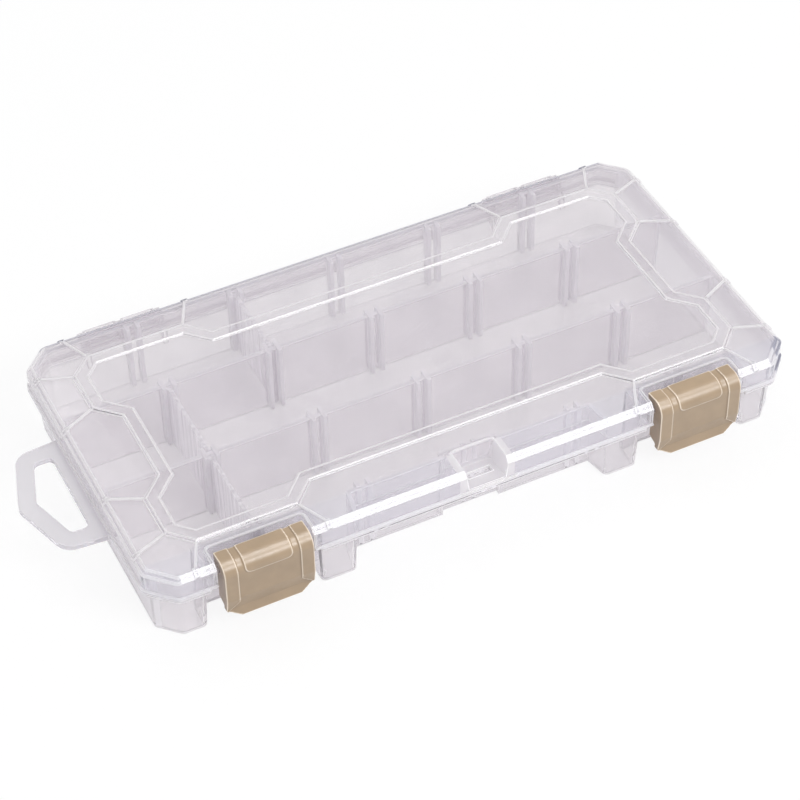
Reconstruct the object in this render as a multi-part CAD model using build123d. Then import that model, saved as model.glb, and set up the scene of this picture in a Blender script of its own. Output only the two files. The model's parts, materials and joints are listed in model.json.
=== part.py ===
from build123d import *
import math
import os

os.makedirs("parts", exist_ok=True)

# Shallow clear compartment case with a hinged lid, two latches and lift-out dividers.
# Millimetres. X runs along the case, +Y goes back to the hinges, +Z up, origin at the
# middle of the tray's underside.

# Outer size, at the lid's skirt
case_length = 232.0
case_width = 119.4
case_height = 29.9        # to the top of the lid's raised band
corner_cut = 8.6          # each leg of the 45 degree corners

# Lid
lid_wall = 1.2
lid_round = 2.4           # upright corners of the skirt
skirt_height = 6.9
lid_bevel = 1.9           # 45 degree edge between the skirt and the top
skirt_lip = 0.5           # rolled lip round the bottom of the skirt
skirt_lip_height = 0.9
band_rise = 0.6           # raised band on the top
band_width = 4.5
band_margin = 12.6        # skirt face to band, at the corners
band_cut = 7.6            # legs of the band's cut corners
band_jog = 7.7            # how far the band steps inwards along each side
band_side_inset = 55.2    # where it steps on the long sides, from the lid's end
band_end_jog = 22.6       # where it steps on the two ends, from the middle
field_drop = 0.5          # centre field below the band
crease_width = 0.9
crease_rise = 0.4
stud_width = 1.8          # low stacking studs, one on the bevel at the end of each crease
stud_rise = 0.45          # studs stand this far off the bevel
stud_back = 0.8           # and reach this far onto the lid's top
stud_root = 0.6           # studs and creases start this far inside the lid's wall
stud_side_inner = 60.4    # studs on the long sides, from the lid's end
stud_side_outer = 15.4
stud_end_inner = 17.4     # studs on the two ends, from the middle
stud_end_outer = 43.6

# Tray
tray_wall = 1.3
tray_floor = 1.4
tray_lean = 1.0           # how far the walls lean outwards from the floor to the rim
tray_inner_round = 0.7    # inside of the tray's upright corners
tray_chamfer = 1.0        # along the tray's bottom edge
rim_gap = 0.6             # tray rim to the inside of the skirt
rest_gap = 0.2            # skirt to the flange it rests on
headroom = 1.2            # tray rim to the underside of the lid
flange_thickness = 1.2
pod_depth = 9.7           # front pods stand this far out from the recessed front wall
pod_width = 13.9
pod_slant = 1.8           # how far the pod's inner side slants
lane_width = 34.5         # front and middle lanes; the back lane takes the rest
cells = 6                 # divider positions are one cell apart
rib_thickness = 1.3
rib_depth = 2.0
rib_rise = 0.7            # ribs stand above the walls
slot_gap = 2.6            # between the two ribs of a divider slot

# Dividers
divider_thickness = 1.3
bead_depth = 1.4          # thicker beads down a divider's two ends sit between the ribs
bead_gap = 0.25           # bead to rib, each side
divider_gap = 0.3         # to the walls at its ends and to the floor
divider_drop = 0.2        # divider top below the wall tops

# Hang tab on the left end
tab_reach = 22.4          # from the skirt's face to the tip
tab_half_width = 24.0     # at the root
tab_taper = 1.3           # narrower by this much each side at the shoulders
tab_slant = 7.2           # how far the tip stands out past the shoulders
tab_strip = 6.2           # width of the strip outside the hole
tab_end_strip = 6.8       # width of the strips at the hole's two ends
tab_root = 4.4            # skirt face to the hole
tab_thickness = 2.0
tab_drop = 0.4            # tab top below the flange top
tab_round = 6.5
tab_hole_round = 2.0

# Hinges: clips on the lid turn on pins moulded between ears on the tray
hinge_inset = 38.0        # middle of a hinge to the lid's end
hinge_behind = 3.3        # pin axis behind the skirt's face
hinge_above_skirt = 1.5   # pin axis above the skirt's bottom edge
pin_radius = 1.4
running_gap = 0.08
clip_wall = 1.3
clip_length = 11.6
clip_mouth = 2.2
clip_gusset = 0.8         # extra height of the clip where it meets the skirt
ear_thickness = 1.8
ear_radius = 2.4
ear_foot = 6.0            # height of the ear's root on the tray wall
side_gap = 0.3

# Latches
latch_inset = 38.2        # middle of a latch to the lid's end
latch_width = 30.4
latch_wall = 1.8
latch_web = 1.4
latch_stand = 2.5         # front face in front of the skirt's face
latch_round = 4.0
latch_top_drop = 0.6      # latch top below the lid's top
latch_lift = 6.5          # finger edge above the ground
latch_lean = 0.9          # the face leans back this far near the bottom
latch_lean_top = 8.0      # the lean starts this far above the finger edge
latch_lean_bottom = 3.2   # and ends this far above it
latch_kick = 0.3          # the finger edge stands this far forward of the face
latch_fall = 0.5          # the top falls by this much towards its rear edge
finger_width = 20.8       # width left at the finger edge by the cut corners
finger_cut = 3.0          # height of the cut corners
pivot_inset = 2.7         # latch pivot behind the skirt's face
pivot_drop = 4.9          # latch pivot below the lid's top
stub_radius = 1.3
boss_radius = 2.6
stub_extra = 0.4          # stub end past the inside of the latch's side web
latch_tail = 3.4          # latch top reaches this far behind its pivot
pocket_gap = 1.2          # latch side to pocket side
pocket_depth = 9.0        # pocket back wall behind the skirt's face
bay_round = 1.5           # back corners of the latch pockets and of the notch
latch_bay = 37.8          # gap between the pods that flank a latch
catch_reach = 3.0         # edge of the tray's catch, behind the latch pivot
catch_gap = 0.4
hook_height = 2.0
hook_drop = 0.3           # hook top below the flange
hook_slope = 2.0          # the hook's underside rises by this much from face to tip
web_depth = 1.0           # side webs reach this far behind the pivot
web_chamfer = 1.5
panel_rise = 0.5          # raised side panels and thumb pad
panel_width = 4.6
panel_start = 2.0         # side panels start this far above the finger edge
panel_flare = 4.4         # height over which they narrow away at the bottom
pad_width = 16.2          # the pad's lower edge is level with the latch pivot
pad_round = 2.0

# Front notch with its lock hole
notch_half_width = 7.6
notch_depth = 11.4        # from the skirt's face
notch_draft = 1.2         # how far each wall slopes in towards the notch's floor
hole_length = 8.6
hole_width = 2.8
hole_inset = 4.6          # skirt face to the hole

# Levels and half sizes that follow from these
half_length = case_length / 2
half_width = case_width / 2
latch_x = half_length - latch_inset
hinge_x = half_length - hinge_inset
band_side_jog = half_length - band_side_inset
bevel_top = case_height - band_rise
skirt_top = bevel_top - lid_bevel
skirt_bottom = skirt_top - skirt_height
lid_underside = bevel_top - lid_wall
tray_top = lid_underside - headroom
rib_top = tray_top + rib_rise
flange_top = skirt_bottom - rest_gap
flange_bottom = flange_top - flange_thickness
tray_inset = lid_wall + rim_gap
recess_y = -(half_width - tray_inset - pod_depth)
notch_y = -(half_width - notch_depth)
notch_bay_y = notch_y + tray_inset     # the tray wall steps back behind the lid's notch
notch_bay_half = notch_half_width + tray_inset
pocket_y = -(half_width - pocket_depth)
pocket_half = latch_width / 2 + pocket_gap
pivot_y = -(half_width - pivot_inset)
pivot_z = case_height - pivot_drop
catch_y = pivot_y + catch_reach
hinge_y = half_width + hinge_behind
hinge_z = skirt_bottom + hinge_above_skirt
wall_ys = [recess_y + tray_wall / 2 + k * (tray_wall + lane_width) for k in (1, 2)]
slot_pitch = 2 * (half_length - tray_inset) / cells
slot_xs = [slot_pitch * (i - cells / 2) for i in range(1, cells)]


def grow(points, amount):
    """Points of a counter-clockwise outline with every side moved out by amount."""
    moved = []
    for i, point in enumerate(points):
        before, after = points[i - 1], points[(i + 1) % len(points)]
        a = math.atan2(point[1] - before[1], point[0] - before[0])
        b = math.atan2(after[1] - point[1], after[0] - point[0])
        turn = (b - a) / 2
        reach = amount / math.cos(turn)
        moved.append((point[0] + reach * math.sin(a + turn), point[1] - reach * math.cos(a + turn)))
    return moved


def block(x0, x1, y0, y1, z0, z1):
    return Pos((x0 + x1) / 2, (y0 + y1) / 2, (z0 + z1) / 2) * Box(x1 - x0, y1 - y0, z1 - z0)


def level(points, z, radius=0):
    """Flat face at height z, its corners rounded where a radius is given."""
    face = Pos(0, 0, z) * Polygon(*points, align=None)
    return fillet(face.vertices(), radius) if radius else face


def prism(points, z0, z1, radius=0):
    return extrude(level(points, z0, radius), z1 - z0)


def frustum(low_face, high_face):
    return loft([low_face, high_face], ruled=True)


def along_x(face_points, x0, x1):
    """Solid with its outline drawn in the YZ plane, from x0 to x1."""
    return extrude(Plane.YZ.offset(x0) * Polygon(*face_points, align=None), x1 - x0)


def rod(y, z, radius, x0, x1):
    return extrude(Plane.YZ.offset(x0) * Pos(y, z) * Circle(radius), x1 - x0)


def right_half_then_left(points):
    """Closed outline from its right half, listed from the front middle to the back middle."""
    return points + [(-x, y) for x, y in reversed(points)]


def skirt_outline():
    return right_half_then_left([
        (half_length - corner_cut, -half_width), (half_length, -half_width + corner_cut),
        (half_length, half_width - corner_cut), (half_length - corner_cut, half_width)])


def band_corners():
    """The band's four outermost corners in the back right quarter, from the back round to the end."""
    far_x, far_y = half_length - band_margin, half_width - band_margin
    return [(band_side_jog, far_y), (far_x - band_cut, far_y),
            (far_x, far_y - band_cut), (far_x, band_end_jog)]


def band_outline():
    """Outer edge of the raised band: it steps inwards along the middle of all four sides."""
    outer = band_corners()
    near_x, near_y = outer[-1][0] - band_jog, outer[0][1] - band_jog
    quarter = [(band_side_jog - band_jog, near_y)] + outer + [(near_x, band_end_jog - band_jog)]
    front = [(x, -y) for x, y in quarter]
    return right_half_then_left(front + quarter[::-1])


def tray_outline(z):
    """Outside of the tray at one height: leaning pods and sides, upright walls between the pods."""
    lean = tray_lean * (1 - z / tray_top)
    edge = grow(skirt_outline(), -tray_inset)
    corner_x, front_y = edge[0]
    wall_y, bay_y = recess_y - lean, notch_bay_y - lean
    bay_out, bay_in = latch_x + latch_bay / 2, latch_x - latch_bay / 2
    pod_in = bay_in - pod_width
    right = [(notch_bay_half, bay_y), (notch_bay_half, wall_y), (pod_in - pod_slant, wall_y),
             (pod_in, front_y), (bay_in, front_y), (bay_in, wall_y),
             (bay_out, wall_y), (bay_out, front_y), (corner_x, front_y)] + edge[1:4]
    return grow(right_half_then_left(right), -lean)


def tray_body(z0, margin, radius):
    """Leaning block on the tray's outline from z0 up, with its pods and corners rounded."""
    low, high = (level(grow(tray_outline(z), margin), z) for z in (z0, tray_top))
    body = frustum(low, high)
    pod_edge = recess_y - pod_depth / 2
    end_edge = latch_x + latch_bay / 2 + pod_slant
    upright = [e for e in body.edges() if e.bounding_box().size.Z > tray_top / 2
               and (e.center().Y < pod_edge or abs(e.center().X) > end_edge)]
    return fillet(upright, radius)


def tray_shell():
    shell = tray_body(0, 0, tray_inner_round + tray_wall)
    shell = chamfer(shell.faces().sort_by(Axis.Z)[0].edges(), tray_chamfer)
    flange = prism(grow(skirt_outline(), skirt_lip), flange_bottom, flange_top, lid_round + skirt_lip)
    for side in (-1, 1):
        middle = side * latch_x
        flange -= block(middle - latch_bay / 2, middle + latch_bay / 2, -case_width, catch_y,
                        flange_bottom - 1, flange_top + 1)
    flange -= lock_hole()
    return shell + flange + hang_tab() - tray_body(tray_floor, -tray_wall, tray_inner_round)


def lock_hole():
    y1 = -half_width + hole_inset + hole_width
    return block(-hole_length / 2, hole_length / 2, y1 - hole_width, y1, 0, case_height)


def hang_tab():
    """Flat loop under the left end of the lid, with a blunt pointed tip."""
    tip = -half_length - tab_reach
    root = -half_length + tray_inset + tray_wall / 2
    outer_half = tab_half_width - tab_taper
    outer = pointed_loop(root, tab_half_width, tip + tab_slant, outer_half, tip)
    outer = fillet([v for v in outer.vertices() if v.X < -half_length], tab_round)
    hole_half = tab_half_width - tab_end_strip
    hole_tip = tip + tab_strip
    shoulder = hole_tip + tab_slant * hole_half / outer_half
    hole = pointed_loop(-half_length - tab_root, hole_half, shoulder, hole_half, hole_tip)
    hole = fillet(hole.vertices(), tab_hole_round)
    return extrude(Pos(0, 0, flange_top - tab_drop - tab_thickness) * (outer - hole), tab_thickness)


def pointed_loop(root, root_half, shoulder, shoulder_half, tip):
    """Face with a straight root on its right, two shoulders and a blunt tip on its left."""
    return Polygon((root, -root_half), (root, root_half), (shoulder, shoulder_half),
                   (tip, 0), (shoulder, -shoulder_half), align=None)


def lane_walls():
    """Two walls the length of the tray, ending inside its leaning end walls."""
    low, high = tray_floor / 2, tray_top
    low_x, high_x = (max(x for x, y in tray_outline(z)) - tray_wall / 2 for z in (low, high))
    side_view = Polygon((-low_x, low), (low_x, low), (high_x, high), (-high_x, high), align=None)
    return [extrude(Plane.XZ.offset(-y - tray_wall / 2) * side_view, tray_wall) for y in wall_ys]


def rib_pairs():
    """Two ribs each side of every divider slot, on both faces of the lane walls and on the outer walls."""
    back_face = half_width - tray_inset - tray_wall
    front_tip = recess_y + tray_wall + rib_depth
    spans = [(y - tray_wall / 2 - rib_depth, y + tray_wall / 2 + rib_depth) for y in wall_ys]
    spans.append((back_face - tray_lean - rib_depth, back_face + tray_wall / 2))
    offset = (slot_gap + rib_thickness) / 2
    ribs = []
    for x in slot_xs:
        for side in (-1, 1):
            middle = x + side * offset
            front_face = notch_bay_y if abs(middle) < notch_bay_half else recess_y
            for y0, y1 in spans + [(front_face + tray_wall / 2, front_tip)]:
                ribs.append(block(middle - rib_thickness / 2, middle + rib_thickness / 2,
                                  y0, y1, tray_floor / 2, rib_top))
    return ribs


def hinge_ears_and_pins():
    """Three ears and one pin at each hinge, moulded on the back of the tray."""
    wall_y = half_width - tray_inset - tray_wall / 2
    step = ear_thickness + clip_length + 2 * side_gap
    tangent = ear_radius * math.sqrt(0.5)
    arm = [(wall_y, flange_bottom - ear_foot), (hinge_y + tangent, hinge_z - tangent),
           (hinge_y, hinge_z), (hinge_y - ear_radius, flange_top), (wall_y, flange_top)]
    pieces = []
    for side in (-1, 1):
        middle = side * hinge_x
        for k in (-1, 0, 1):
            x0 = middle + k * step - ear_thickness / 2
            pieces.append(along_x(arm, x0, x0 + ear_thickness))
            pieces.append(rod(hinge_y, hinge_z, ear_radius, x0, x0 + ear_thickness))
        pieces.append(rod(hinge_y, hinge_z, pin_radius, middle - step, middle + step))
    return pieces


def base_tray():
    return tray_shell() + (lane_walls() + rib_pairs() + hinge_ears_and_pins())


def lid_shell():
    edge = skirt_outline()
    top_edge = grow(edge, -lid_bevel)
    shell = prism(edge, skirt_bottom, skirt_top, lid_round)
    lip_edge, lip_top = grow(edge, skirt_lip), skirt_bottom + skirt_lip_height
    shell += prism(lip_edge, skirt_bottom, lip_top, lid_round + skirt_lip)
    shell += frustum(level(edge, skirt_top, lid_round), level(top_edge, bevel_top, lid_round - lid_bevel))
    band = band_outline()
    shell += frustum(level(band, bevel_top), level(grow(band, -band_rise), case_height))
    shell += crease_ribs() + rim_studs()
    field = grow(band, -band_width)
    shell -= frustum(level(grow(field, -field_drop), case_height - field_drop), level(field, case_height))
    return shell


def crease_ribs():
    """Narrow ribs from the corners of the band out to the studs on the rim."""
    ribs = []
    for corner, stud in zip(band_corners(), stud_spots()):
        for sx in (-1, 1):
            for sy in (-1, 1):
                ribs.append(crease_rib((sx * corner[0], sy * corner[1]), (sx * stud[0], sy * stud[1])))
    return ribs


def crease_rib(start, end):
    turn = math.degrees(math.atan2(end[1] - start[1], end[0] - start[0]))
    rib = Box(math.dist(start, end), crease_width, stud_root + crease_rise,
              align=(Align.MIN, Align.CENTER, Align.MIN))
    return Pos(start[0], start[1], bevel_top - stud_root) * Rot(0, 0, turn) * rib


def stud_spots():
    """Where the back right quarter's four studs meet the lid's top, in the order of the band's corners."""
    rim_x, rim_y = half_length - lid_bevel, half_width - lid_bevel
    return [(half_length - stud_side_inner, rim_y), (half_length - stud_side_outer, rim_y),
            (rim_x, stud_end_outer), (rim_x, stud_end_inner)]


def rim_studs():
    """Low ridge down the bevel at every stud spot, drawn for the back and turned for the other sides."""
    top, off = bevel_top + crease_rise, stud_rise * math.sqrt(2)
    section = [(-lid_bevel - stud_back, bevel_top - stud_root), (0, skirt_top - stud_root),
               (0, skirt_top + off), (off - lid_bevel - crease_rise, top), (-lid_bevel - stud_back, top)]
    stud = along_x(section, -stud_width / 2, stud_width / 2)
    studs = []
    for x, y in stud_spots()[:2]:
        for side in (-1, 1):
            studs.append(Pos(side * x, half_width, 0) * stud)
            studs.append(Pos(side * x, -half_width, 0) * Rot(0, 0, 180) * stud)
    for x, y in stud_spots()[2:]:
        for side in (-1, 1):
            studs.append(Pos(half_length, side * y, 0) * Rot(0, 0, -90) * stud)
            studs.append(Pos(-half_length, side * y, 0) * Rot(0, 0, 90) * stud)
    return studs


def lid():
    shell = lid_shell()
    inside = grow(skirt_outline(), -lid_wall)
    hollow_bevel = lid_bevel - lid_wall
    hollow_round = lid_round - lid_wall
    shoulder = level(inside, lid_underside - hollow_bevel, hollow_round)
    hollow = prism(inside, skirt_bottom, lid_underside - hollow_bevel, hollow_round)
    ceiling = level(grow(inside, -hollow_bevel), lid_underside, hollow_round - hollow_bevel)
    hollow += frustum(shoulder, ceiling)
    for side in (-1, 1):
        shell -= prism(pocket_plan(side * latch_x, 0), 0, case_height + 1, bay_round)
        hollow -= prism(pocket_plan(side * latch_x, lid_wall), 0, case_height, bay_round + lid_wall)
    shell -= frustum(level(notch_plan(-notch_draft), skirt_bottom + lid_wall, bay_round),
                     level(notch_plan(0), case_height, bay_round))
    hollow -= frustum(level(notch_plan(lid_wall - notch_draft), skirt_bottom, bay_round + lid_wall),
                      level(notch_plan(lid_wall), case_height, bay_round + lid_wall))
    return shell - hollow - lock_hole() + (hinge_clips() + latch_stubs())


def pocket_plan(middle, margin):
    """Plan of a latch pocket, wider and deeper by margin."""
    half = pocket_half + margin
    back = pocket_y + margin
    return [(middle - half, -case_width), (middle + half, -case_width),
            (middle + half, back), (middle - half, back)]


def notch_plan(margin):
    """Plan of the front notch, wider and deeper by margin."""
    x, y = notch_half_width + margin, notch_y + margin
    return [(-x, -case_width), (x, -case_width), (x, y), (-x, y)]


def hinge_clips():
    """Open clips on the back of the skirt that snap over the tray's pins."""
    outer = pin_radius + running_gap + clip_wall
    start = ear_thickness / 2 + side_gap
    web = [(half_width - lid_wall / 2, skirt_bottom), (hinge_y, skirt_bottom),
           (hinge_y, hinge_z + outer), (half_width - lid_wall / 2, hinge_z + outer + clip_gusset)]
    clips = []
    for side in (-1, 1):
        for k in (-1, 1):
            x0 = side * hinge_x + min(k * start, k * (start + clip_length))
            x1 = x0 + clip_length
            clip = rod(hinge_y, hinge_z, outer, x0, x1) + along_x(web, x0, x1)
            clip -= rod(hinge_y, hinge_z, pin_radius + running_gap, x0, x1)
            clip -= block(x0, x1, hinge_y - clip_mouth / 2, hinge_y + clip_mouth / 2,
                          hinge_z - 2 * outer, hinge_z)
            clips.append(clip)
    return clips


def latch_stubs():
    """Round stubs inside each latch pocket that the latch turns on."""
    reach = pocket_gap + latch_web + stub_extra
    stubs = []
    for side in (-1, 1):
        for wall in (-1, 1):
            root = side * latch_x + wall * (pocket_half + lid_wall / 2)
            tip = side * latch_x + wall * (pocket_half - reach)
            stubs.append(rod(pivot_y, pivot_z, stub_radius, min(root, tip), max(root, tip)))
    return stubs


def latch():
    """Tan latch about x = 0: a wrapped skin with side webs, a hook, side panels and a thumb pad."""
    half = latch_width / 2
    body = extrude(Plane.YZ.offset(-half) * latch_skin_face(0), latch_width)
    for x0 in (-half, half - latch_web):
        plate = along_x(latch_web_points(), x0, x0 + latch_web)
        plate += rod(pivot_y, pivot_z, boss_radius, x0, x0 + latch_web)
        body += plate - rod(pivot_y, pivot_z, stub_radius + running_gap, x0, x0 + latch_web)
    body += along_x(latch_hook_points(), -half, half) + latch_panels()
    return body - finger_corners()


def latch_web_points():
    """Side web in the YZ plane, listed from the finger end back and up to the rear of the top."""
    skin_y = -half_width - latch_stand + latch_wall / 2
    skin_z = case_height - latch_top_drop - latch_wall / 2
    low = latch_lift + latch_round
    back_y = pivot_y + web_depth
    tip_y, hook_top = catch_y - catch_gap, flange_bottom - hook_drop
    hook_low = hook_top - hook_height
    return [(skin_y, low), (back_y, low + web_chamfer), (back_y, hook_low - web_depth), (tip_y, hook_low),
            (tip_y, hook_top), (pivot_y + boss_radius, pivot_z), (pivot_y + latch_tail, skin_z),
            (skin_y + latch_round - latch_wall / 2, skin_z), (skin_y, skin_z - latch_round + latch_wall / 2)]


def latch_hook_points():
    """Hook that reaches behind the skin and under the tray's flange."""
    skin_y = -half_width - latch_stand + latch_wall / 2
    tip_y, hook_top = catch_y - catch_gap, flange_bottom - hook_drop
    hook_low = hook_top - hook_height
    return [(skin_y, hook_low - hook_slope), (tip_y, hook_low), (tip_y, hook_top), (skin_y, hook_top)]


def latch_skin_face(rise):
    """Section of the skin in the YZ plane, its outer side raised by rise."""
    lean_z, heel_z = latch_lift + latch_lean_top, latch_lift + latch_lean_bottom
    tail_y = pivot_y + latch_tail
    face_y = -half_width - latch_stand - rise
    top = case_height - latch_top_drop + rise
    bend = latch_round + rise
    inner_y = -half_width - latch_stand + latch_wall
    inner_top = case_height - latch_top_drop - latch_wall
    inner_bend = latch_round - latch_wall
    outer = [(tail_y, top - latch_fall), (face_y + bend, top), (face_y, top - bend), (face_y, lean_z),
             (face_y + latch_lean, heel_z), (face_y - latch_kick, latch_lift)]
    inner = [(inner_y - latch_kick, latch_lift), (inner_y + latch_lean, heel_z), (inner_y, lean_z),
             (inner_y, inner_top - inner_bend), (inner_y + inner_bend, inner_top),
             (tail_y, inner_top - latch_fall)]
    edges = [RadiusArc(outer[1], outer[2], -bend), RadiusArc(inner[3], inner[4], inner_bend),
             Line(outer[-1], inner[0]), Line(inner[-1], outer[0])]
    for points, arc in ((outer, 1), (inner, 3)):
        edges += [Line(points[k], points[k + 1]) for k in range(len(points) - 1) if k != arc]
    return make_face(edges)


def latch_panels():
    """Raised borders down both sides and the thumb pad over the top, all cut from one raised skin."""
    half = latch_width / 2
    raised = extrude(Plane.YZ.offset(-half) * latch_skin_face(panel_rise), latch_width)
    low, high = latch_lift + panel_start, case_height + 1
    inner = half - panel_width
    mask = Plane.XZ * Polygon((-half, low), (-inner, low + panel_flare),
                              (-inner, high), (-half, high), align=None)
    mask += mirror(mask, Plane.YZ)
    pad = Plane.XZ * Polygon((-pad_width / 2, pivot_z), (pad_width / 2, pivot_z),
                             (pad_width / 2, high), (-pad_width / 2, high), align=None)
    pad = fillet(pad.vertices().group_by(Axis.Z)[0], pad_round)
    reach = half_width + latch_stand + 2 * panel_rise
    return raised & (extrude(mask, reach) + extrude(pad, reach))


def finger_corners():
    """Wedges taken off the latch's two lower corners."""
    inner, outer = finger_width / 2, latch_width / 2 + panel_rise
    slope = finger_cut / (latch_width / 2 - inner)
    wedge = Plane.XZ * Polygon((inner, 0), (outer, 0), (outer, latch_lift + slope * (outer - inner)),
                               (inner, latch_lift), align=None)
    wedge = extrude(wedge, case_width)
    return wedge + mirror(wedge, Plane.YZ)


def divider(y0, y1, x):
    """Flat divider between two walls, with a thicker bead down each end."""
    low, high = tray_floor + divider_gap, tray_top - divider_drop
    start, end = y0 + divider_gap, y1 - divider_gap
    half = divider_thickness / 2
    half_bead = slot_gap / 2 - bead_gap
    beads = [block(x - half_bead, x + half_bead, y, y + bead_depth, low, high)
             for y in (start, end - bead_depth)]
    return block(x - half, x + half, start, end, low, high) + beads


def dividers():
    front_face = recess_y + tray_wall
    back_face = half_width - tray_inset - tray_wall - tray_lean
    half_wall = tray_wall / 2
    return {
        "front_divider": divider(front_face, wall_ys[0] - half_wall, slot_xs[0]),
        "middle_divider": divider(wall_ys[0] + half_wall, wall_ys[1] - half_wall, slot_xs[0]),
        "back_divider": divider(wall_ys[1] + half_wall, back_face, slot_xs[1])}


parts = {"base_tray": base_tray(), "lid": lid()}
parts["left_latch"] = Pos(-latch_x, 0, 0) * latch()
parts["right_latch"] = Pos(latch_x, 0, 0) * latch()
parts.update(dividers())
for node, solid in parts.items():
    export_step(solid, f"parts/{node}.step")
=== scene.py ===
import json
import math

import bpy
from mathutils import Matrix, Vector


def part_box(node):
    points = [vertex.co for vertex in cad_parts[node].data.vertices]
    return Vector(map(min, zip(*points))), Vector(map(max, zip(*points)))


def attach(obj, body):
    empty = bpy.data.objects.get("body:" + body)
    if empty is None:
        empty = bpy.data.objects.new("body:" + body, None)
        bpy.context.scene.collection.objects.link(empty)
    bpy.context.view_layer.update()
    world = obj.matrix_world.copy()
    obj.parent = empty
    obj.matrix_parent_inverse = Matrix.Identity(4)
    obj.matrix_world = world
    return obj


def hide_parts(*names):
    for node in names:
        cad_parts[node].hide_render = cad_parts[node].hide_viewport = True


# Clear compartment case with a hinged lid, two tan latches and three dividers.
# Everything is in metres on the frame's own origin; +Z up, latches at -Y.

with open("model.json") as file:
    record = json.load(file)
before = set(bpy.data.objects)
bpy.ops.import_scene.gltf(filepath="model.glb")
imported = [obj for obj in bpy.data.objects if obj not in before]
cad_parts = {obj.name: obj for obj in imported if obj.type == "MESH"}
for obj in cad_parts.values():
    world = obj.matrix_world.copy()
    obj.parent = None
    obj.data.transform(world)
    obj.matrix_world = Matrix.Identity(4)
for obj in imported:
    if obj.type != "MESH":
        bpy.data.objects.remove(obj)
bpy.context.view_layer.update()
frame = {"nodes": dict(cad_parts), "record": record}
nodes = frame["nodes"]
bodyNodes = frame["record"]["behaviour"]["bodies"]
print("frame loaded:", ", ".join(sorted(nodes)))

# node helpers


def newTree(owner):
    owner.use_nodes = True
    owner.node_tree.nodes.clear()
    return owner.node_tree


def newMaterial(name):
    material = bpy.data.materials.new(name)
    tree = newTree(material)
    return material, tree, tree.nodes.new("ShaderNodeOutputMaterial").inputs["Surface"]


def join(tree, output, socket):
    tree.links.new(output, socket)


def feed(tree, socket, value):
    # a bare number is set on the socket, anything else is linked to it
    if isinstance(value, (int, float)):
        socket.default_value = value
    else:
        join(tree, value, socket)


def paint(tree, socket, colour):
    if isinstance(colour, tuple):
        socket.default_value = (*colour, 1)
    else:
        join(tree, colour, socket)


def mathNode(tree, operation, *values):
    node = tree.nodes.new("ShaderNodeMath")
    node.operation = operation
    for socket, value in zip(node.inputs, values):
        feed(tree, socket, value)
    return node.outputs[0]


def mixShaders(tree, factor, first, second):
    mix = tree.nodes.new("ShaderNodeMixShader")
    feed(tree, mix.inputs[0], factor)
    join(tree, first, mix.inputs[1])
    join(tree, second, mix.inputs[2])
    return mix.outputs[0]


def mixColours(tree, factor, first, second):
    mix = tree.nodes.new("ShaderNodeMix")
    mix.data_type = "RGBA"
    join(tree, factor, mix.inputs["Factor"])
    paint(tree, mix.inputs["A"], first)
    paint(tree, mix.inputs["B"], second)
    return mix.outputs["Result"]


def axesOf(tree, kind):
    # X, Y and Z of the piece's own space ("Object") or of the way a face looks ("Normal")
    place = tree.nodes.new("ShaderNodeTexCoord")
    axes = tree.nodes.new("ShaderNodeSeparateXYZ")
    join(tree, place.outputs[kind], axes.inputs[0])
    return axes.outputs


def noise(tree, scale, detail=2.0, stretch=(1, 1, 1)):
    # in the piece's own space, so it stays put when the piece moves
    place = tree.nodes.new("ShaderNodeTexCoord")
    squeeze = tree.nodes.new("ShaderNodeMapping")
    squeeze.inputs["Scale"].default_value = stretch
    join(tree, place.outputs["Object"], squeeze.inputs["Vector"])
    texture = tree.nodes.new("ShaderNodeTexNoise")
    texture.inputs["Scale"].default_value = scale
    texture.inputs["Detail"].default_value = detail
    join(tree, squeeze.outputs[0], texture.inputs["Vector"])
    return texture.outputs["Fac"]


def ramp(tree, value, span, to=(0.0, 1.0)):
    # carries the span's two ends to the two values in to
    node = tree.nodes.new("ShaderNodeMapRange")
    for name, number in zip(("From Min", "From Max", "To Min", "To Max"), (*span, *to)):
        node.inputs[name].default_value = number
    join(tree, value, node.inputs["Value"])
    return node.outputs["Result"]


def between(tree, value, low, high):
    above = mathNode(tree, "GREATER_THAN", value, low)
    return mathNode(tree, "MULTIPLY", above, mathNode(tree, "LESS_THAN", value, high))


def bump(tree, height, strength, depth):
    node = tree.nodes.new("ShaderNodeBump")
    node.inputs["Strength"].default_value = strength
    node.inputs["Distance"].default_value = depth
    join(tree, height, node.inputs["Height"])
    return node.outputs[0]


# camera, floor and light

view = {
    "place": (-0.26596, -0.55345, 0.60970),
    "turn": (45.5355, 0.8155, -26.2824),
    "lens": 113.68,
    "sensor": 36,
    "clip": (0.01, 20),
}
floorLook = {
    "colour": (0.96, 0.96, 0.965),
    "half": 4.0,
    "drop": 0.0002,          # keeps it just clear of the tray's underside
    "lift": 0.84,            # how far the camera sees it as pure white
    "through": 0.5,          # and how far it does through the plastic
}
lamps = {
    "key": {"place": (0.40, -0.95, 0.95), "size": (0.64, 0.48), "power": 7.8},
    "top": {"place": (-0.2, 0.6, 1.2), "size": (1.0, 0.8), "power": 2.8},
    "bend": {"place": (0.31, -0.17, 1.3), "size": (0.6, 0.7), "power": 7.5},
}
studio = {
    "aim": (0, 0, 0),
    "worldLevel": 0.70,
    "bounces": 32,
    "diffuseBounces": 6,
    "clearBounces": 60,      # straight passes through clear walls
}


def makeCamera():
    data = bpy.data.cameras.new("camera")
    data.lens = view["lens"]
    data.sensor_width = view["sensor"]
    data.clip_start, data.clip_end = view["clip"]
    camera = bpy.data.objects.new("camera", data)
    camera.location = view["place"]
    camera.rotation_euler = [math.radians(a) for a in view["turn"]]
    bpy.context.scene.collection.objects.link(camera)
    bpy.context.scene.camera = camera


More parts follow.
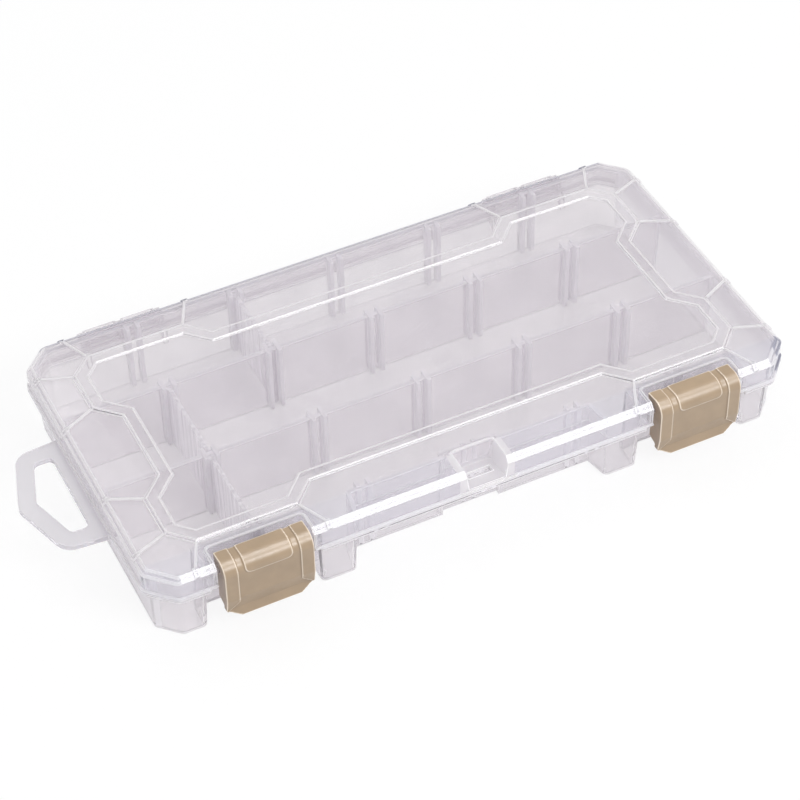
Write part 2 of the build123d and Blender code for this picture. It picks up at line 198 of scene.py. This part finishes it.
def makeFloor():
    half = floorLook["half"]
    mesh = bpy.data.meshes.new("floor")
    corners = [(-half, -half, 0), (half, -half, 0), (half, half, 0), (-half, half, 0)]
    mesh.from_pydata(corners, [], [(0, 1, 2, 3)])
    floor = bpy.data.objects.new("floor", mesh)
    floor.location.z = -floorLook["drop"]
    bpy.context.scene.collection.objects.link(floor)
    material, tree, surface = newMaterial("floorWhite")
    matte = tree.nodes.new("ShaderNodeBsdfDiffuse")
    paint(tree, matte.inputs["Color"], floorLook["colour"])
    glow = tree.nodes.new("ShaderNodeEmission")
    path = tree.nodes.new("ShaderNodeLightPath")
    direct = mathNode(tree, "MULTIPLY", path.outputs["Is Camera Ray"], floorLook["lift"])
    through = mathNode(tree, "MULTIPLY", path.outputs["Is Transmission Ray"], floorLook["through"])
    lift = mathNode(tree, "MAXIMUM", direct, through)
    join(tree, mixShaders(tree, lift, matte.outputs[0], glow.outputs[0]), surface)
    mesh.materials.append(material)


def makeWorld():
    # white for the camera, also through the plastic, and plain light for the rest
    world = bpy.data.worlds.new("studio")
    bpy.context.scene.world = world
    tree = newTree(world)
    out = tree.nodes.new("ShaderNodeOutputWorld")
    path = tree.nodes.new("ShaderNodeLightPath")
    seen = mathNode(tree, "MAXIMUM", path.outputs["Is Camera Ray"], path.outputs["Is Transmission Ray"])
    levels = []
    for strength in (studio["worldLevel"], 1.0):
        level = tree.nodes.new("ShaderNodeBackground")
        level.inputs["Color"].default_value = (1, 1, 1, 1)
        level.inputs["Strength"].default_value = strength
        levels.append(level.outputs[0])
    join(tree, mixShaders(tree, seen, *levels), out.inputs["Surface"])


def makeLamp(name):
    data = bpy.data.lights.new(name, "AREA")
    data.shape = "RECTANGLE"
    data.size, data.size_y = lamps[name]["size"]
    data.energy = lamps[name]["power"]
    lamp = bpy.data.objects.new(name, data)
    lamp.location = lamps[name]["place"]
    away = Vector(studio["aim"]) - lamp.location
    lamp.rotation_euler = away.to_track_quat("-Z", "Y").to_euler()
    bpy.context.scene.collection.objects.link(lamp)
    return lamp


def shineOnly(lamp, pieces):
    # the lamp lights these pieces and nothing else
    lit = bpy.data.collections.new(lamp.name + "Lit")
    for piece in pieces:
        lit.objects.link(piece)
    lamp.light_linking.receiver_collection = lit


makeCamera()
makeFloor()
makeWorld()
makeLamp("key")
makeLamp("top").visible_glossy = False   # keeps its shape out of the flat lid
bendLamp = makeLamp("bend")              # for the bend of each latch
scene = bpy.context.scene
scene.view_settings.view_transform = "Standard"
scene.cycles.max_bounces = studio["bounces"]
scene.cycles.transmission_bounces = studio["bounces"]
scene.cycles.transparent_max_bounces = studio["clearBounces"]
scene.cycles.diffuse_bounces = studio["diffuseBounces"]
print("camera, floor and light made")

# clear polypropylene: bending plastic under a haze that is denser on upright walls

clear = {
    "tint": (0.957, 0.940, 0.948),    # what a wall lets through
    "lampTint": (0.985, 0.98, 0.983),
    "shine": 0.0,                     # roughness of the clear surface
    "bend": 1.46,
    "milkShine": 0.22,                # the same two for the haze
    "milkBend": 1.49,
    "through": 0.5,                   # share of the haze that light passes on behind
    "lying": (0.3, 0.8),              # from a wall to a flat, by how far the face looks up or down
    "noiseSpan": (0.3, 0.7),
    "ripple": 0.005,                  # faint flow ripples left by moulding
    "rippleScale": 40,
    "rippleDepth": 0.001,
}
cloudy = {"scale": 45, "stretch": (1, 1, 1), "spread": 0.2}
streaky = {"scale": 700, "stretch": (1, 1, 0.06), "spread": 0.35}


def glassLayer(tree, normal):
    # bends what is seen through it, but lets the lamps' light straight through
    glass = tree.nodes.new("ShaderNodeBsdfPrincipled")
    paint(tree, glass.inputs["Base Color"], clear["tint"])
    glass.inputs["Roughness"].default_value = clear["shine"]
    glass.inputs["IOR"].default_value = clear["bend"]
    glass.inputs["Transmission Weight"].default_value = 1.0
    join(tree, normal, glass.inputs["Normal"])
    through = tree.nodes.new("ShaderNodeBsdfTransparent")
    paint(tree, through.inputs["Color"], clear["lampTint"])
    path = tree.nodes.new("ShaderNodeLightPath")
    straight = mathNode(tree, "MAXIMUM", path.outputs["Is Shadow Ray"], path.outputs["Is Diffuse Ray"])
    return mixShaders(tree, straight, glass.outputs[0], through.outputs[0])


def hazeLayer(tree, colour):
    milk = tree.nodes.new("ShaderNodeBsdfPrincipled")
    paint(tree, milk.inputs["Base Color"], colour)
    milk.inputs["Roughness"].default_value = clear["milkShine"]
    milk.inputs["IOR"].default_value = clear["milkBend"]
    behind = tree.nodes.new("ShaderNodeBsdfTranslucent")
    paint(tree, behind.inputs["Color"], colour)
    return mixShaders(tree, clear["through"], milk.outputs[0], behind.outputs[0])


def makeClear(name, look, extras=None):
    # extras gives masks, each with its own share and colour of haze
    material, tree, surface = newMaterial(name)
    wander = look["wander"]
    spread = (1 - wander["spread"], 1 + wander["spread"])
    patches = ramp(tree, noise(tree, wander["scale"], stretch=wander["stretch"]), clear["noiseSpan"], spread)
    lying = mathNode(tree, "ABSOLUTE", axesOf(tree, "Normal")["Z"])
    share = mathNode(tree, "MULTIPLY", patches,
                     ramp(tree, lying, clear["lying"], (look["wall"], look["flat"])))
    colour = look["body"]
    for mask, more, body in extras(tree) if extras else []:
        share = mathNode(tree, "MAXIMUM", share, mathNode(tree, "MULTIPLY", mask, more))
        colour = mixColours(tree, mask, colour, body)
    normal = bump(tree, noise(tree, clear["rippleScale"]), clear["ripple"], clear["rippleDepth"])
    join(tree, mixShaders(tree, share, glassLayer(tree, normal), hazeLayer(tree, colour)), surface)
    return material


# tray: its hang tab looks milkier, and its ribs and wall tops get a whiter haze, on the ribs partly from the
# thicker plastic and on both a painted highlight where these edges catch light

tray = {
    "flat": 0.13,
    "wall": 0.14,
    "body": (0.79, 0.772, 0.812),
    "wander": cloudy,
    "thickGlintBody": (0.97, 0.96, 0.985),
    "thickGlintHaze": 0.62,
    "tabHaze": 0.36,
    "ribNear": 0.0012,                # the ribs, from the middle of a divider slot
    "ribFar": 0.0027,
    "ribFoot": 0.002,
    "upright": 0.5,                   # a rib's sides look no further up or down than this
    "topDrop": 0.0007,                # the wall tops, below the tray's highest point
    "topBand": 0.0011,
    "topFull": 0.25,                  # share of the band that is left where the haze is full
}


def ribMask(tree):
    # 1 on the sides of the ribs beside each divider slot
    slots = sorted(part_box(name)[0][0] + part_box(name)[1][0] for name in nodes if "divider" in name)
    pitch = (slots[-1] - slots[0]) / 2
    axes = axesOf(tree, "Object")
    off = mathNode(tree, "ABSOLUTE", mathNode(tree, "PINGPONG", axes["X"], pitch / 2))
    ribs = between(tree, off, tray["ribNear"], tray["ribFar"])
    slope = mathNode(tree, "ABSOLUTE", axesOf(tree, "Normal")["Z"])
    upright = mathNode(tree, "LESS_THAN", slope, tray["upright"])
    aboveFloor = mathNode(tree, "GREATER_THAN", axes["Z"], tray["ribFoot"])
    return mathNode(tree, "MULTIPLY", ribs, mathNode(tree, "MULTIPLY", upright, aboveFloor))


def wallTopMask(tree):
    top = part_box("base_tray")[1][2] - tray["topDrop"]
    span = (top - tray["topBand"], top - tray["topBand"] * tray["topFull"])
    return ramp(tree, axesOf(tree, "Object")["Z"], span)


def trayExtras(tree):
    # the hang tab stands out past the lid's left end
    tab = mathNode(tree, "LESS_THAN", axesOf(tree, "Object")["X"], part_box("lid")[0][0])
    # whiter haze on rib sides and wall tops: partly thicker plastic, partly painted highlight
    thickAndGlint = mathNode(tree, "MAXIMUM", ribMask(tree), wallTopMask(tree))
    return [(tab, tray["tabHaze"], tray["body"]), (thickAndGlint, tray["thickGlintHaze"], tray["thickGlintBody"])]


# lid: its skirt, latch pockets and notch along the front hold more haze

lid = {
    "flat": 0.13,
    "wall": 0.17,
    "body": (0.79, 0.772, 0.812),
    "wander": cloudy,
    "frontBody": (0.81, 0.825, 0.91),
    "frontHaze": 0.18,
    "frontDeep": 0.0117,
    "frontFade": 0.0010,
    "notchBody": (0.98, 0.975, 0.99),
    "notchHaze": 0.34,
    "notchHalf": 0.0098,
}


def lidExtras(tree):
    axes = axesOf(tree, "Object")
    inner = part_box("lid")[0][1] + lid["frontDeep"]
    near = ramp(tree, axes["Y"], (inner, inner - lid["frontFade"]))
    middle = mathNode(tree, "LESS_THAN", mathNode(tree, "ABSOLUTE", axes["X"]), lid["notchHalf"])
    notch = mathNode(tree, "MULTIPLY", near, middle)
    return [(near, lid["frontHaze"], lid["frontBody"]), (notch, lid["notchHaze"], lid["notchBody"])]


# dividers: milky plates with upright streaks

divider = {
    "flat": 0.50,
    "wall": 0.50,
    "body": (0.97, 0.96, 0.985),
    "wander": streaky,
}

# painted highlights and shade: fine lines just inside the moulded edges, pale as painted highlights where
# the clear plastic catches light, and dark in places as painted shade

paintedLines = {
    "body": (0.99, 0.985, 0.99),
    "haze": 0.85,
    "paintedShade": (0.55, 0.555, 0.635),     # painted shade: the lines are dark along the lid's back rim and down its right front corner
    "backBand": (-0.0026, 0.0003),
    "backRise": 0.0032,               # the painted shade keeps this near the lid's top
    "cornerWide": 0.006,
    "cornerDeep": 0.011,
    "angle": 25,                      # an edge sharper than this carries a painted highlight line
    "sides": 6,
    "lid": {"radius": 0.00030, "sunk": 0.00042},
    "other": {"radius": 0.00020, "sunk": 0.00032},
}


def makePaintedLineMaterial():
    material, tree, surface = newMaterial("paintedEdgeLine")
    axes = axesOf(tree, "Object")
    low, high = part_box("lid")
    # painted shade: a band along the lid's back rim near its top, and the right front corner
    back = between(tree, axes["Y"], *(off - low[1] for off in paintedLines["backBand"]))
    raised = mathNode(tree, "GREATER_THAN", axes["Z"], high[2] - paintedLines["backRise"])
    back = mathNode(tree, "MULTIPLY", back, raised)
    right = mathNode(tree, "GREATER_THAN", axes["X"], high[0] - paintedLines["cornerWide"])
    nearFront = mathNode(tree, "LESS_THAN", axes["Y"], low[1] + paintedLines["cornerDeep"])
    paintedShade = mathNode(tree, "MAXIMUM", back, mathNode(tree, "MULTIPLY", right, nearFront))
    colour = mixColours(tree, paintedShade, paintedLines["body"], paintedLines["paintedShade"])
    through = tree.nodes.new("ShaderNodeBsdfTransparent")
    join(tree, mixShaders(tree, paintedLines["haze"], through.outputs[0], hazeLayer(tree, colour)), surface)
    return material


# latches: satin tan plastic, with a painted highlight along raised edges and painted shade in creases

latch = {
    "colour": (0.285, 0.200, 0.120),
    # painted highlight colour for raised edges
    "edge": (0.75, 0.65, 0.53),
    "edgeHighlightSpan": (0.508, 0.526),       # how far an edge stands out before it gets the full painted highlight
    # painted shade colour for creases
    "crease": (0.19, 0.13, 0.08),
    "creaseShadeSpan": (0.485, 0.455),
    "cloudScale": 160,
    "cloudSpan": (0.35, 0.65),
    "cloudLift": 1.12,
    "rough": (0.34, 0.46),
    "roughScale": 900,
    "roughSpan": (0.3, 0.7),
    "bend": 1.5,
    "gloss": 0.95,
    "coat": 0.5,
    "coatRough": 0.28,
    "grain": 0.05,
    "grainScale": 1300,
    "grainDetail": 3,
    "grainDepth": 0.0001,
    "voxel": 0.0002,
    "easeStep": 0.5,
    "ease": 9,
}


def makeTan():
    material, tree, surface = newMaterial("tanPolypropylene")
    base = tree.nodes.new("ShaderNodeBsdfPrincipled")
    base.inputs["IOR"].default_value = latch["bend"]
    base.inputs["Specular IOR Level"].default_value = latch["gloss"]
    base.inputs["Coat Weight"].default_value = latch["coat"]
    base.inputs["Coat Roughness"].default_value = latch["coatRough"]
    geometry = tree.nodes.new("ShaderNodeNewGeometry")
    # painted highlight on raised edges and painted shade in creases, both found by pointiness
    raised = ramp(tree, geometry.outputs["Pointiness"], latch["edgeHighlightSpan"])
    sunk = ramp(tree, geometry.outputs["Pointiness"], latch["creaseShadeSpan"])
    cloud = ramp(tree, noise(tree, latch["cloudScale"]), latch["cloudSpan"])
    lifted = tuple(c * latch["cloudLift"] for c in latch["colour"])
    shade = mixColours(tree, sunk, mixColours(tree, cloud, latch["colour"], lifted), latch["crease"])
    join(tree, mixColours(tree, raised, shade, latch["edge"]), base.inputs["Base Color"])
    rough = ramp(tree, noise(tree, latch["roughScale"]), latch["roughSpan"], latch["rough"])
    join(tree, rough, base.inputs["Roughness"])
    grain = noise(tree, latch["grainScale"], latch["grainDetail"])
    join(tree, bump(tree, grain, latch["grain"], latch["grainDepth"]), base.inputs["Normal"])
    join(tree, base.outputs[0], surface)
    return material


clearMaterials = {
    "lid": makeClear("clearLid", lid, lidExtras),
    "base_tray": makeClear("clearTray", tray, trayExtras),
}
dividerMaterial = makeClear("clearDivider", divider)
paintedLineMaterial = makePaintedLineMaterial()
tanMaterial = makeTan()
print("materials made")

# meshes

meshing = {
    "weld": 0.00001,
    "flat": 0.5,             # faces that turn less than this become one
    "crease": 16,            # an edge that turns more than this stays sharp in the shading
}


def newGroup(name):
    group = bpy.data.node_groups.new(name, "GeometryNodeTree")
    for way in ("INPUT", "OUTPUT"):
        group.interface.new_socket("Geometry", in_out=way, socket_type="NodeSocketGeometry")
    start = group.nodes.new("NodeGroupInput")
    end = group.nodes.new("NodeGroupOutput")
    return group, start.outputs[0], end.inputs[0]


def edgesBy(group, operation, angle):
    # edges that turn less ("LESS_THAN") or more ("GREATER_THAN") than the angle
    turn = group.nodes.new("GeometryNodeInputMeshEdgeAngle")
    limit = group.nodes.new("FunctionNodeCompare")
    limit.operation = operation
    limit.inputs["B"].default_value = math.radians(angle)
    join(group, turn.outputs["Unsigned Angle"], limit.inputs["A"])
    return limit.outputs[0]


def makeSmoothGroup():
    group, start, end = newGroup("smoothCurves")
    faces = group.nodes.new("GeometryNodeSetShadeSmooth")
    faces.domain = "FACE"
    edges = group.nodes.new("GeometryNodeSetShadeSmooth")
    edges.domain = "EDGE"
    join(group, start, faces.inputs["Geometry"])
    join(group, faces.outputs[0], edges.inputs["Geometry"])
    join(group, edgesBy(group, "LESS_THAN", meshing["crease"]), edges.inputs["Shade Smooth"])
    join(group, edges.outputs[0], end)
    return group


def makePaintedLineGroup(line):
    # sharp edges become curves, sink below the surface and get a round section
    group, start, end = newGroup("paintedEdgeLines")
    normal = group.nodes.new("GeometryNodeInputNormal")
    keep = group.nodes.new("GeometryNodeCaptureAttribute")
    keep.capture_items.new("VECTOR", "normal")
    keep.domain = "POINT"
    join(group, start, keep.inputs["Geometry"])
    join(group, normal.outputs[0], keep.inputs[1])
    lines = group.nodes.new("GeometryNodeMeshToCurve")
    join(group, keep.outputs[0], lines.inputs["Mesh"])
    join(group, edgesBy(group, "GREATER_THAN", paintedLines["angle"]), lines.inputs["Selection"])
    inwards = group.nodes.new("ShaderNodeVectorMath")
    inwards.operation = "SCALE"
    join(group, keep.outputs[1], inwards.inputs[0])
    inwards.inputs["Scale"].default_value = -line["sunk"]
    move = group.nodes.new("GeometryNodeSetPosition")
    join(group, lines.outputs[0], move.inputs["Geometry"])
    join(group, inwards.outputs[0], move.inputs["Offset"])
    ring = group.nodes.new("GeometryNodeCurvePrimitiveCircle")
    ring.inputs["Resolution"].default_value = paintedLines["sides"]
    ring.inputs["Radius"].default_value = line["radius"]
    tube = group.nodes.new("GeometryNodeCurveToMesh")
    tube.inputs["Fill Caps"].default_value = True
    join(group, move.outputs[0], tube.inputs["Curve"])
    join(group, ring.outputs[0], tube.inputs["Profile Curve"])
    finish = group.nodes.new("GeometryNodeSetMaterial")
    finish.inputs["Material"].default_value = paintedLineMaterial
    join(group, tube.outputs[0], finish.inputs["Geometry"])
    join(group, finish.outputs[0], end)
    return group


smoothGroup = makeSmoothGroup()
paintedLineGroups = {kind: makePaintedLineGroup(paintedLines[kind]) for kind in ("lid", "other")}


def bodyOf(name):
    # the body that a CAD node moves with
    return next(body for body, members in bodyNodes.items() if name in members)


def copyOf(node, name, material):
    piece = bpy.data.objects.new(name, node.data.copy())
    piece.data.materials.clear()
    piece.data.materials.append(material)
    bpy.context.scene.collection.objects.link(piece)
    return piece


def weldPoints(piece):
    weld = piece.modifiers.new("weld", "WELD")
    weld.merge_threshold = meshing["weld"]


def cleanFaces(piece):
    # one face for each flat, so that only real edges are left
    weldPoints(piece)
    flat = piece.modifiers.new("flat", "DECIMATE")
    flat.decimate_type = "DISSOLVE"
    flat.angle_limit = math.radians(meshing["flat"])


def dressClear(name, node, material):
    node.data.materials.clear()
    node.data.materials.append(material)
    cleanFaces(node)
    node.modifiers.new("smooth", "NODES").node_group = smoothGroup
    # a copy that carries the painted highlight lines along its sharp edges
    paintedLineCopy = copyOf(node, name + "_painted_lines", paintedLineMaterial)
    cleanFaces(paintedLineCopy)
    paintedLineCopy.modifiers.new("paintedLineCopy", "NODES").node_group = paintedLineGroups.get(name, paintedLineGroups["other"])
    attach(paintedLineCopy, bodyOf(name))


def makeLatch(name, node):
    # remeshed finely and eased, which rounds every moulded edge
    moulding = copyOf(node, name + "_moulding", tanMaterial)
    weldPoints(moulding)
    fine = moulding.modifiers.new("fine", "REMESH")
    fine.mode = "VOXEL"
    fine.voxel_size = latch["voxel"]
    fine.use_smooth_shade = True
    ease = moulding.modifiers.new("ease", "SMOOTH")
    ease.factor = latch["easeStep"]
    ease.iterations = latch["ease"]
    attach(moulding, bodyOf(name))
    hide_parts(name)
    return moulding


mouldings = []
for name, node in nodes.items():
    if "latch" in name:
        mouldings.append(makeLatch(name, node))
    else:
        dressClear(name, node, clearMaterials.get(name, dividerMaterial))
shineOnly(bendLamp, mouldings)
print("finishes on", len(nodes), "nodes")
